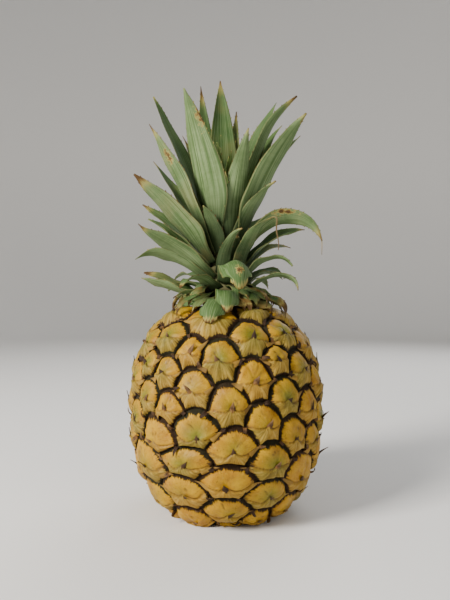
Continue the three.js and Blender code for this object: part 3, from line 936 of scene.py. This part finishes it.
crown = {
    "gap": 0.3 * mm,                    # between the leaves' roots, the stem and the fruit
    "coreRadius": 13 * mm,
    "coreTopRadius": 4 * mm,
    "coreHeight": 54 * mm,
    "coreSwell": 1.3,
    "thickness": 1.2 * mm,
    "margin": 0.45 * mm,
    "thinning": 0.55,
    "channel": 0.14,                    # depth of the trough, as a share of the width
    "hug": 0.6,                         # how far a root wraps round the stem
    "hugEnd": 0.35,
    "taper": 2.5,
    "tipWidth": 0.6 * mm,
    "lowestSeat": 1 * mm,
    "highestSeat": 42 * mm,
    "stations": 34,
    "places": 14,                       # mesh steps across a leaf
    "waver": 0.5 * mm,                  # wave of the margins
    "waves": (17, 9),                   # of both margins together, and of one against the other
    "wander": 1.2 * mm,                 # sideways move of a tip
    "curl": (0.62, 1.15),               # shares of a leaf where its curl starts, and would be full
    "paintedShadeRadius": (12 * mm, 27 * mm),   # painted shade: leaves are painted darkest down between their neighbours
    "paintedShadeHeight": (172 * mm, 212 * mm),
    # leaves in front that arch over and hang their blunt ends down, margins turned under:
    # number, taper, depth of the hood as a share of the width, and width of the end
    "hooded": {1: (12, 0.26, 9 * mm), 8: (11, 0.32, 7 * mm), 17: (12, 0.46, 10 * mm)},
    "hoodFrom": 0.12,
    "hoodFull": 0.55,
    "tear": 1.6 * mm,                   # raggedness of a hooded leaf's end
    "tearFrom": 0.8,
    "hoodDryness": (-0.3, -0.1),
    "dryness": (-0.5, 0.3),
    "leaning": {26: 15 * mm},           # number and sideways move of its tip
    # dried spots: number, then place along and across the leaf, and half length and width
    "spots": {17: (0.81, 0.0, 0.07, 0.34), 30: (0.62, -0.75, 0.10, 0.40), 40: (0.75, 0.40, 0.08, 0.45),
              43: (0.95, 0.50, 0.03, 0.50), 51: (0.80, 0.90, 0.07, 0.55)},
    # turn, reach, height, width, bow, twist, curl, from the lowest seat to the highest
    "leaves": (
        (-11, 46, 119, 16, 0.34, 0, 45), (-100, 55, 150, 15, 0.02, 40, 20),
        (-84, 54, 146, 15, 0.00, -35, 0), (60, 33, 131, 9, 0.40, 15, 60), (170, 38, 127, 16, 0.40, 0, 20),
        (-66, 36, 133, 11, 0.25, -20, 20), (-150, 38, 128, 15, 0.40, 0, 20),
        (2, 41, 125, 14.4, 0.36, 3, 46), (84, 46, 138, 10, 0.40, 30, 70),
        (-112, 42, 138, 14, 0.30, 10, 25), (140, 48, 140, 14, 0.35, 0, 30),
        (-40, 43, 139, 15, 0.35, -10, 20), (-132, 50, 145, 14, 0.30, 10, 25),
        (120, 44, 146, 14, 0.35, 0, 20), (106, 40, 146, 10, 0.35, -30, 60),
        (-178, 46, 140, 16, 0.45, 0, 30), (9, 46, 138, 18, 0.62, 0, 75),
        (-74, 58, 157, 17, 0.20, -35, 45), (74, 43, 153, 10, 0.40, 30, 50),
        (154, 52, 157, 15, 0.40, 0, 20), (-60, 60, 177, 20, 0.12, -30, -30),
        (122, 52, 168, 13, 0.30, -20, 15), (-158, 51, 160, 17, 0.35, 0, 20),
        (-88, 50, 184, 16, 0.10, 40, 10), (44, 38, 181, 12, 0.20, 10, 30), (-12, 30, 174, 9, 0.30, 0, 25),
        (97, 52, 178, 16, 0.25, -35, 10), (-126, 54, 184, 16, 0.20, 20, 10),
        (176, 50, 180, 18, 0.30, 0, 10), (82, 61, 169, 18, 0.62, 70, 55),
        (-100, 56, 195, 15, 0.08, 40, 0), (140, 53, 192, 16, 0.22, -10, 15),
        (-68, 60, 208, 25, 0.06, -35, 0), (24, 18, 172, 14, 0.15, 0, 10), (-155, 50, 207, 18, 0.20, 0, 5),
        (54, 37, 204, 14, 0.25, 15, 15), (-112, 53, 226, 13, 0.06, 30, 0),
        (122, 38, 224, 15, 0.12, -25, 5), (160, 47, 215, 17, 0.16, 0, 5),
        (-80, 49, 243, 20, 0.03, -35, 0), (106, 52, 242, 15, 0.12, -25, 10),
        (-40, 22, 190, 15, 0.12, -10, 10), (72, 52, 247, 26, 0.10, 35, 5), (172, 38, 238, 17, 0.10, 0, 0),
        (-134, 42, 246, 14, 0.08, 10, 5), (125, 48, 253, 16, 0.10, -25, 15),
        (-96, 48, 265, 20, 0.04, 40, 0), (92, 46, 264, 19, 0.12, 40, 25), (32, 26, 236, 19, 0.08, 20, 5),
        (118, 38, 265, 22, 0.07, -30, 10), (-50, 34, 260, 28, 0.05, -25, 0),
        (-140, 26, 277, 14, 0.04, 15, -15), (150, 16, 258, 12, 0.02, -20, 0),
        (-168, 13, 278, 24, 0.02, 0, 0),
    ),
}

teeth = {
    "spacing": 4.5 * mm,
    "spacingSpread": (0.6, 1.5),
    "length": 1.1 * mm,
    "lengthSpread": (0.6, 1.2),
    "along": (0.45, 0.96),              # first place as a share of the leaf, last as one of its margin
    "rootDepth": 0.3 * mm,
    "thickness": 0.5 * mm,
    "look": 0.5 * mm,                   # step along the margin that gives a tooth's direction
    "back": 0.8,                        # foot behind and before its place, as shares of its length
    "front": 0.5,
    "out": 0.7,                         # how far its tip stands off the margin
}

leafTones = {
    "green": (0.038, 0.084, 0.017),
    "greyGreen": (0.085, 0.140, 0.042),
    "bloom": (0.24, 0.32, 0.15),
    # painted shade tone, for leaves down between their neighbours
    "deep": (0.010, 0.022, 0.005),
    "blush": (0.22, 0.15, 0.05),
    "straw": (0.38, 0.32, 0.09),
    "dry": (0.18, 0.105, 0.026),
    "dryDark": (0.06, 0.030, 0.010),
}


def coreRadiusAt(height):
    share = np.clip(height / crown["coreHeight"], 0, 1) ** crown["coreSwell"]
    return mix(crown["coreRadius"], crown["coreTopRadius"], share)


def leafLine(row, seat, startRadius):
    # side view of a leaf: distance from the axis and height over the ground
    _, reach, height, _, bow, _, curl = row
    floorHeight = rind["crownSeat"] + crown["gap"]
    start = np.array((startRadius, seat + floorHeight))
    tip = np.array((reach * mm, height * mm))
    run = tip - start
    middle = (start + tip) / 2 + np.array((-run[1], run[0])) * bow
    share = np.linspace(0, 1, crown["stations"])
    line = ((1 - share) ** 2)[:, None] * start + (2 * share * (1 - share))[:, None] * middle
    line += (share ** 2)[:, None] * tip
    steps = np.diff(line, axis=0)
    bend = math.radians(curl) * softStep((share[1:] + share[:-1]) / 2, *crown["curl"])
    steps = np.stack((steps[:, 0] * np.cos(bend) + steps[:, 1] * np.sin(bend),
                      steps[:, 1] * np.cos(bend) - steps[:, 0] * np.sin(bend)), axis=-1)
    line = np.concatenate(([[0, 0]], np.cumsum(steps, axis=0)))
    route = line[:, 0] + 1j * line[:, 1]
    route *= complex(*(tip - start)) / route[-1]      # the tip stays where the model has it
    line = start + np.stack((route.real, route.imag), axis=-1)
    along = unit(np.gradient(line, axis=0))
    return share, line, along


def pointAt(values, travel, place):  # a row of 3-D values, read part of the way along a line
    return np.array([np.interp(place, travel, values[:, axis]) for axis in range(3)])


def addTeeth(heap, share, surface, lift, draws, tone):  # small hooked teeth on both margins
    for edge, step in ((0, 1), (-1, -1)):
        margin = surface[:, edge]
        inward = unit(surface[:, edge + step] - margin)
        travel = np.concatenate(([0], np.cumsum(np.linalg.norm(np.diff(margin, axis=0), axis=1))))
        at = np.interp(teeth["along"][0], share, travel)
        while at < teeth["along"][1] * travel[-1]:
            spot, into, above = (pointAt(values, travel, at) for values in (margin, inward, lift))
            ahead = unit(pointAt(margin, travel, at + teeth["look"]) - spot)
            long = teeth["length"] * draws.uniform(*teeth["lengthSpread"])
            root = spot + into * teeth["rootDepth"]
            half = above * teeth["thickness"] / 2
            shape = [root - ahead * teeth["back"] * long, root + ahead * teeth["front"] * long,
                     root + half, root - half, spot - into * teeth["out"] * long + ahead * long]
            order = ((0, 2, 4), (2, 1, 4), (1, 3, 4), (3, 0, 4), (0, 3, 1, 2))
            if np.dot(np.cross(ahead, above), into) < 0:
                order = [face[::-1] for face in order]   # so that the faces turn out
            heap.add(shape, order, deep=0.0, along=0.9, across=1.0, upper=1.0, tone=tone, dryness=0.6)
            at += teeth["spacing"] * draws.uniform(*teeth["spacingSpread"])


def leafTrough(width, share, place, hugged, hood, draws):
    # half width along a leaf and the rise of its surface, from the root that hugs the stem
    opening = softStep(share, 0, crown["hugEnd"])
    taper, hoodDepth, endWidth = hood or (crown["taper"], 0, crown["tipWidth"])
    blade = width * (1 - share ** taper) / 2
    base = min(width / 2, crown["hug"] * hugged)
    half = np.maximum(mix(np.minimum(base, blade), blade, opening), endWidth / 2)
    hugDepth = hugged - np.sqrt(hugged ** 2 - np.minimum(half, base) ** 2)
    channel = crown["channel"] * np.ones_like(share)
    if hood:
        channel = mix(channel, -hoodDepth, softStep(share, crown["hoodFrom"], crown["hoodFull"]))
    depth = mix(hugDepth, channel * 2 * half, opening)
    phase = draws.uniform(0, 6)
    both, single = crown["waves"]
    wave = crown["waver"] * np.sin(share * both + phase) * opening * np.minimum(1, half / (4 * mm))
    lopsided = crown["waver"] * np.sin(share * single + phase * 2) * opening
    rise = depth[:, None] * place[None] ** 2 + wave[:, None] * np.abs(place[None]) ** 3
    return half, rise + lopsided[:, None] * place[None] ** 3


# shade sets how strongly a leaf gets painted shade down between its neighbours
def growLeaf(heap, row, seat, seed, startRadius=None, hood=None, lean=0.0,
             dryness=(0.0, 0.3), shade=1.0):
    turn, _, _, width, _, twist, _ = row
    draws = random.Random(seed)
    hugged = startRadius or coreRadiusAt(seat) + crown["gap"] + crown["thickness"] / 2
    share, line, along = leafLine(row, seat, hugged)
    place = np.linspace(-1, 1, crown["places"] + 1)
    twists = np.radians(twist) * softStep(share, 0, 1)
    side = np.array((1.0, 0, 0))
    inner = np.stack((np.zeros_like(share), along[:, 1], along[:, 0]), axis=-1)
    across = np.cos(twists)[:, None] * side - np.sin(twists)[:, None] * inner
    lift = np.cos(twists)[:, None] * inner + np.sin(twists)[:, None] * side
    middle = np.stack((np.zeros_like(share), -line[:, 0], line[:, 1]), axis=-1)
    middle[:, 0] += (lean + draws.uniform(-crown["wander"], crown["wander"])) * share ** 2

    # middle surface of the leaf, then its under side and upper side
    half, rise = leafTrough(width * mm, share, place, hugged, hood, draws)
    surface = middle[:, None] + across[:, None] * (half[:, None] * place[None])[..., None]
    surface = surface + lift[:, None] * rise[..., None]
    if hood:                           # torn end, longest in the middle
        run = unit(np.gradient(middle, axis=0))
        torn = crown["tear"] * ripple(place * 4, seed, 0.5) - 2 * crown["tear"] * place ** 2
        pull = softStep(share, crown["tearFrom"], 1)[:, None] * torn[None]
        surface = surface + run[:, None] * pull[..., None]
    thin = 1 - crown["thinning"] * share[:, None]
    thick = (crown["margin"] + (crown["thickness"] - crown["margin"]) * (1 - place[None] ** 2)) * thin
    under = surface - lift[:, None] * (thick / 2)[..., None]
    over = surface + lift[:, None] * (thick / 2)[..., None]
    rings = np.concatenate((under, over[:, ::-1]), axis=1)
    count = rings.shape[1]
    points = turned(rings.reshape(-1, 3), turn)

    # painted shade mask: full near the stem and low in the crown, fading outwards and upwards
    inside = 1 - softStep(np.hypot(points[:, 0], points[:, 1]), *crown["paintedShadeRadius"])
    inside *= 1 - softStep(points[:, 2], *crown["paintedShadeHeight"])
    tone = draws.random()
    heap.add(points, ringFaces(len(share), count), deep=inside * shade,
             along=np.repeat(share, count),
             across=np.tile(np.concatenate((place, place[::-1])), len(share)),
             upper=np.tile(np.repeat((0.0, 1.0), len(place)), len(share)),
             tone=tone, dryness=draws.uniform(*dryness))
    addTeeth(heap, share, turned(surface, turn), turned(lift, turn), draws, tone)
    return turned(middle[-2:], turn)   # the way its tip points


leafGrain = {
    # size of each pattern, in repeats for each metre
    "cloud": 60,
    "scab": 480,
    "speck": 900,
    # repeats for each leaf
    "ribs": 14,
    "bands": 26,
    "leafVariety": 40,                  # sets the pattern of one leaf apart from the next
    "tear": 2.2,                        # raggedness of a dried spot
    "tearBalance": 0.75,
}


def leafFinish(name, tones):
    size = leafGrain
    make = Finish(name)
    along, across = make.stored("along"), make.stored("across")
    upper, tone, dryness = make.stored("upper"), make.stored("tone"), make.stored("dryness")
    place = make.place()
    seed = make.times(tone, size["leafVariety"])
    rib = make.grain(make.combine(make.times(across, size["ribs"]), make.times(along, 1.5), seed),
                     1, roughness=0.6)
    band = make.grain(make.combine(make.times(across, 0.8), make.times(along, size["bands"]), seed), 1)
    cloud = make.grain(place, size["cloud"], detail=4)
    speck = make.grain(place, size["speck"], detail=4, roughness=0.7)
    scab = make.grain(place, size["scab"], detail=4, roughness=0.65)

    # upper side, and the paler back with its bloom
    top = make.cover(tones["green"], tones["greyGreen"], cloud, (0.35, 0.0), (0.68, 0.8))
    top = make.cover(top, tones["bloom"], rib, (0.48, 0.0), (0.66, 0.45))
    back = make.cover(tones["greyGreen"], tones["bloom"], cloud, (0.30, 0.15), (0.70, 0.75))
    back = make.cover(back, tones["bloom"], band, (0.45, 0.0), (0.62, 0.22))
    back = make.cover(back, tones["green"], rib, (0.44, 0.0), (0.60, 0.75))
    body = make.blend(upper, back, top)
    edge = make.ramp(make.sums("ABSOLUTE", across), (0.93, 0.0), (1.0, 0.35))
    body = make.blend(edge, body, tones["blush"])
    # painted shade: leaves darkened down between their neighbours, mostly on their backs
    shade = make.times(make.stored("deep"), make.ramp(upper, (0.0, 0.85), (1.0, 0.1)))
    body = make.blend(shade, body, tones["deep"])

    # withered tip, dry mottling, specks and dried spots
    torn = make.plus(make.times(make.less(make.plus(cloud, tone), 1.0), 0.09),
                     make.times(make.less(rib, 0.5), 0.22))
    withered = make.plus(along, torn, make.times(dryness, 0.15))
    mottle = make.times(dryness, make.ramp(cloud, (0.45, 0.0), (0.60, 1.0)))
    body = make.blend(mottle, body, tones["dry"])
    body = make.cover(body, tones["straw"], withered, (0.91, 0.0), (0.965, 0.8))
    body = make.cover(body, tones["dry"], withered, (0.955, 0.0), (0.985, 1.0))
    body = make.cover(body, tones["dryDark"], withered, (0.98, 0.0), (1.0, 0.8))
    body = make.cover(body, tones["blush"], speck, (0.64, 0.0), (0.74, 0.6))
    flaky = make.less(make.plus(scab, make.times(rib, 0.5)), size["tearBalance"])
    spot = make.plus(make.stored("spot"), make.times(flaky, size["tear"]))
    body = make.cover(body, tones["straw"], spot, (0.50, 0.0), (0.60, 0.8))
    body = make.cover(body, tones["dry"], spot, (0.62, 0.0), (0.74, 0.9))
    body = make.cover(body, tones["dryDark"], spot, (0.84, 0.0), (0.96, 0.9))

    rough = make.ramp(cloud, (0.3, 0.62), (0.7, 0.78))
    normal = make.relief(rib, 0.45, 0.6 * mm)
    normal = make.relief(speck, 0.2, 0.3 * mm, normal)
    return make.finish(body, rough, normal, specular=0.2)


def growCrown(leafMaterial):
    tips = {}
    rows = crown["leaves"]
    for k, row in enumerate(rows):
        seat = mix(crown["lowestSeat"], crown["highestSeat"], k / (len(rows) - 1))
        heap = Heap()
        hood = crown["hooded"].get(k + 1)
        dryness = crown["hoodDryness"] if hood else crown["dryness"]
        lean = crown["leaning"].get(k + 1, 0)
        tips[k + 1] = growLeaf(heap, row, seat, 100 + k, hood=hood, lean=lean, dryness=dryness)
        if k + 1 in crown["spots"]:
            place, aside, length, width = crown["spots"][k + 1]
            along, across = np.array(heap.masks["along"]), np.array(heap.masks["across"])
            heap.masks["spot"] = (hump(along, place, length) * hump(across, aside, width)).tolist()
        piece = makePiece(f"crown_leaf_{k + 1:02d}", heap, leafMaterial)
        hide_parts(f"leaf_{k + 1:02d}")
    return tips


# Young leaves in the heart of the crown, seen from above

heartLeaves = {   # each pair runs from the outermost to the innermost
    "count": 11,
    "startRadius": (3.6 * mm, 1.2 * mm),
    "seat": (44 * mm, 53 * mm),
    "reach": (16, 6),
    "height": (211, 231),
    "heightSpread": 3,
    "width": (11, 8),
    "bow": 0.06,
    "twist": 15,                        # degrees to either side
    "dryness": (-0.6, 0.0),
}

youngTones = {
    "green": (0.10, 0.20, 0.03),
    "greyGreen": (0.20, 0.30, 0.07),
    "bloom": (0.34, 0.40, 0.16),
    # painted shade tone; the young leaves are grown with shade=0, so they get none
    "deep": (0.02, 0.04, 0.01),
    "blush": (0.30, 0.18, 0.06),
    "straw": (0.42, 0.36, 0.12),
    "dry": (0.24, 0.14, 0.04),
    "dryDark": (0.10, 0.05, 0.02),
}


def growHeart():
    draws = random.Random(17)
    heap = Heap()
    spread, twist = heartLeaves["heightSpread"], heartLeaves["twist"]
    for k in range(heartLeaves["count"]):
        share = k / (heartLeaves["count"] - 1)
        radius, seat, reach, height, width = (
            mix(*heartLeaves[label], share) for label in ("startRadius", "seat", "reach", "height", "width"))
        row = (k * rind["goldenTurn"], reach, height + draws.uniform(-spread, spread), width,
               heartLeaves["bow"], draws.uniform(-twist, twist), 0)
        growLeaf(heap, row, seat, 400 + k, startRadius=radius, dryness=heartLeaves["dryness"], shade=0.0)
    makePiece("crown_heart", heap, leafFinish("youngLeaf", youngTones))


# Small scales round the foot of the crown

footScales = {
    "count": 34,
    "clearFront": (-30, 15),           # degrees left to the hooded leaves
    "startRadius": (13.8, 12.2),       # from the lowest scale to the highest
    "seat": (0.5, 11.0),
    "reach": (37, 27),
    "reachSpread": 3.0,
    "clear": (0.8, 5.0),               # height of the ends over the shoulder
    "clearSpread": (-0.6, 1.0),
    "width": (12, 17),
    "bow": (0.24, 0.40),
    "twist": (-20, 20),
    "curl": (25, 65),
    "blunt": (4, 0.16, 1.5 * mm),      # taper, hood and width of the end, as for hooded leaves
    "dryness": (0.0, 0.9),
}


def shoulderHeight(radius):
    across = (radius / rind["bellyRadius"]) ** rind["squareness"]
    return levelTop(rind["bellyHeight"] + rind["reachUp"] * (1 - across) ** (1 / rind["squareness"]))


def growFoot(material):
    draws = random.Random(5)
    heap = Heap()
    left, right = footScales["clearFront"]
    for k in range(footScales["count"]):
        turn = (k * rind["goldenTurn"] + 180) % 360 - 180
        if left < turn < right:
            continue
        share = k / (footScales["count"] - 1)
        reach = mix(*footScales["reach"], share) + footScales["reachSpread"] * draws.uniform(-1, 1)
        clear = mix(*footScales["clear"], share ** 1.5) + draws.uniform(*footScales["clearSpread"])
        shape = (draws.uniform(*footScales[label]) for label in ("width", "bow", "twist", "curl"))
        row = (turn, reach, shoulderHeight(reach * mm) / mm + clear, *shape)
        growLeaf(heap, row, mix(*footScales["seat"], share) * mm, 300 + k, hood=footScales["blunt"],
                 startRadius=mix(*footScales["startRadius"], share) * mm, dryness=footScales["dryness"])
    makePiece("crown_foot_scales", heap, material)


# Dried tips that hang from two leaves, and dried narrow leaves at the foot

dried = {
    "hangingTips": {25: 24 * mm, 30: 11 * mm},   # leaf number and length
    "tipWidth": 1.7 * mm,
    "thickness": 0.35 * mm,
    "fallBy": 0.4,                     # share of a tip after which it hangs straight down
    "sway": (0.35, 7),                 # how much and how often it bends aside
    "steps": 16,
    "tone": 0.1,
    "leaves": (   # turn, reach, height over the shoulder, width, bow, twist, curl
        (24, 34, 0.6, 10.0, 0.26, 0, 40),
        (38, 38, 6.0, 7.0, 0.36, 25, 95),
        (58, 42, 2.5, 6.0, 0.30, -30, 70),
        (-46, 40, 2.0, 6.5, 0.30, 30, 60),
        (96, 39, 1.5, 6.0, 0.34, -20, 80),
        (150, 41, 2.0, 6.5, 0.30, 25, 65),
        (-120, 40, 3.0, 6.0, 0.36, -25, 85),
    ),
    "startRadius": 13.0 * mm,
    "seat": 4 * mm,
    "dryness": (0.9, 1.5),
}

strawTones = {
    "base": (0.24, 0.19, 0.06),
    "middle": (0.27, 0.18, 0.07),
    "tip": (0.13, 0.075, 0.03),
    "grey": (0.44, 0.36, 0.20),
    "dark": (0.06, 0.035, 0.014),
}


def growHangingTips(tips):
    heap = Heap()
    share = np.linspace(0, 1, dried["steps"])
    sway, bends = dried["sway"]
    widths = dried["tipWidth"] / 2 * (1 - 0.6 * share)
    for number, length in dried["hangingTips"].items():
        start, end = tips[number]
        falling = softStep(share, 0, dried["fallBy"])[:, None]
        runs = unit(mix(unit(end - start), np.array((0, 0, -1.0)), falling))
        side = unit(np.cross(runs[0], (0, 0, 1.0)))
        runs = unit(runs + side * (sway * np.sin(share * bends + number))[:, None])
        centres = start + np.cumsum(runs, axis=0) * length / (dried["steps"] - 1)
        sides = np.repeat(side[None], len(share), axis=0)
        shape, faces, values = stripShape(centres, sides, np.cross(sides, runs), widths,
                                          dried["thickness"], 0.4 * widths)
        heap.add(shape, faces, tone=dried["tone"], **values)
    makePiece("hanging_tips", heap, dryFinish("dryStrip", strawTones))


def growDriedLeaves(material):
    heap = Heap()
    for k, (turn, reach, clear, *shape) in enumerate(dried["leaves"]):
        row = (turn, reach, shoulderHeight(reach * mm) / mm + clear, *shape)
        growLeaf(heap, row, dried["seat"], 500 + k,
                 startRadius=dried["startRadius"], dryness=dried["dryness"])
    makePiece("dried_leaves", heap, material)


# Stem of the crown and the cut stem under the fruit

stem = {
    "sides": 64,
    "rings": 40,
    "ridge": 0.35 * mm,
    "ridgeCount": 9,
    # tone and shade are the stem's own green-brown, darkened as painted shade for the shadow inside the
    # crown
    "tone": (0.15, 0.15, 0.06),
    "shade": (0.07, 0.055, 0.02),
}

scar = {   # the dry cut end of the stalk, sunk into the underside
    "radius": 11.5 * mm,
    "rings": ((0.2, 0.9), (0.45, 0.6), (0.7, 0.9), (0.9, 0.7), (1.0, 1.0), (1.0, 2.6)),
    "unevenness": 0.03,
    "tone": (0.45, 0.33, 0.17),
    "shade": (0.16, 0.10, 0.05),
}


def stemFinish(name, tone, shade):
    make = Finish(name)
    place = make.place()
    fibre = make.grain(place, 420, detail=5, roughness=0.65)
    cloud = make.grain(place, 70, detail=3)
    body = make.cover(tone, shade, cloud, (0.35, 0.0), (0.7, 0.8))
    body = make.cover(body, shade, fibre, (0.52, 0.0), (0.75, 0.7))
    rough = make.ramp(fibre, (0.3, 0.6), (0.7, 0.85))
    return make.finish(body, rough, make.relief(fibre, 0.6, 0.6 * mm), specular=0.3)


def growStem():
    heap = Heap()
    rings, sides = stem["rings"], stem["sides"]
    seat = rind["crownSeat"] + crown["gap"]
    angle = 2 * math.pi * np.arange(sides) / sides
    pieces = []
    for k in range(rings):
        share = k / (rings - 1)
        height = share * crown["coreHeight"]
        ridge = stem["ridge"] * np.sin(2 * math.pi * stem["ridgeCount"] * share + 3 * np.sin(angle * 2))
        radius = (coreRadiusAt(height) - stem["ridge"] + ridge) * math.sqrt(max(1 - share ** 8, 0.02))
        pieces.append(np.stack((radius * np.cos(angle), radius * np.sin(angle),
                                np.full(sides, seat + height)), axis=-1))
    heap.add(np.concatenate(pieces), ringFaces(rings, sides))
    piece = makePiece("crown_stem", heap, stemFinish("crownStem", stem["tone"], stem["shade"]))
    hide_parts("crown_core")


def growScar():
    heap = Heap()
    sides = stem["sides"]
    angle = 2 * math.pi * np.arange(sides) / sides
    rings = []
    for share, height in scar["rings"]:   # share of the radius, and height in mm
        rough = 1 + scar["unevenness"] * ripple(np.cos(angle) * 3, np.sin(angle) * 3, height)
        rings.append(np.stack((scar["radius"] * share * rough * np.cos(angle),
                               scar["radius"] * share * rough * np.sin(angle),
                               np.full(sides, height * mm)), axis=-1))
    heap.add(np.concatenate(rings), ringFaces(len(rings), sides))
    makePiece("stalk_scar", heap, stemFinish("stalkCut", scar["tone"], scar["shade"]))


setCamera()
hangLights()
layFloor()
print("stage: camera, lights and floor placed")

eyes = EyeMap()
growRind(eyes)
print("stage: rind grown,", eyes.eyeCount, "eyes")

dryPaint = dryFinish("dryScale", dryTones)
dryBits = growPoints(eyes)
growScraps(eyes, dryBits)
makePiece("dry_scales", dryBits, dryPaint)
growWings(eyes)
print("stage: dry points, scraps and wings placed")

leafPaint = leafFinish("leafBlade", leafTones)
leafTips = growCrown(leafPaint)
growHeart()
growFoot(leafPaint)
print("stage: crown leaves, heart and foot scales grown")

growHangingTips(leafTips)
growDriedLeaves(leafPaint)
growStem()
growScar()
print("stage: dried leaves and tips, stem and scar added")
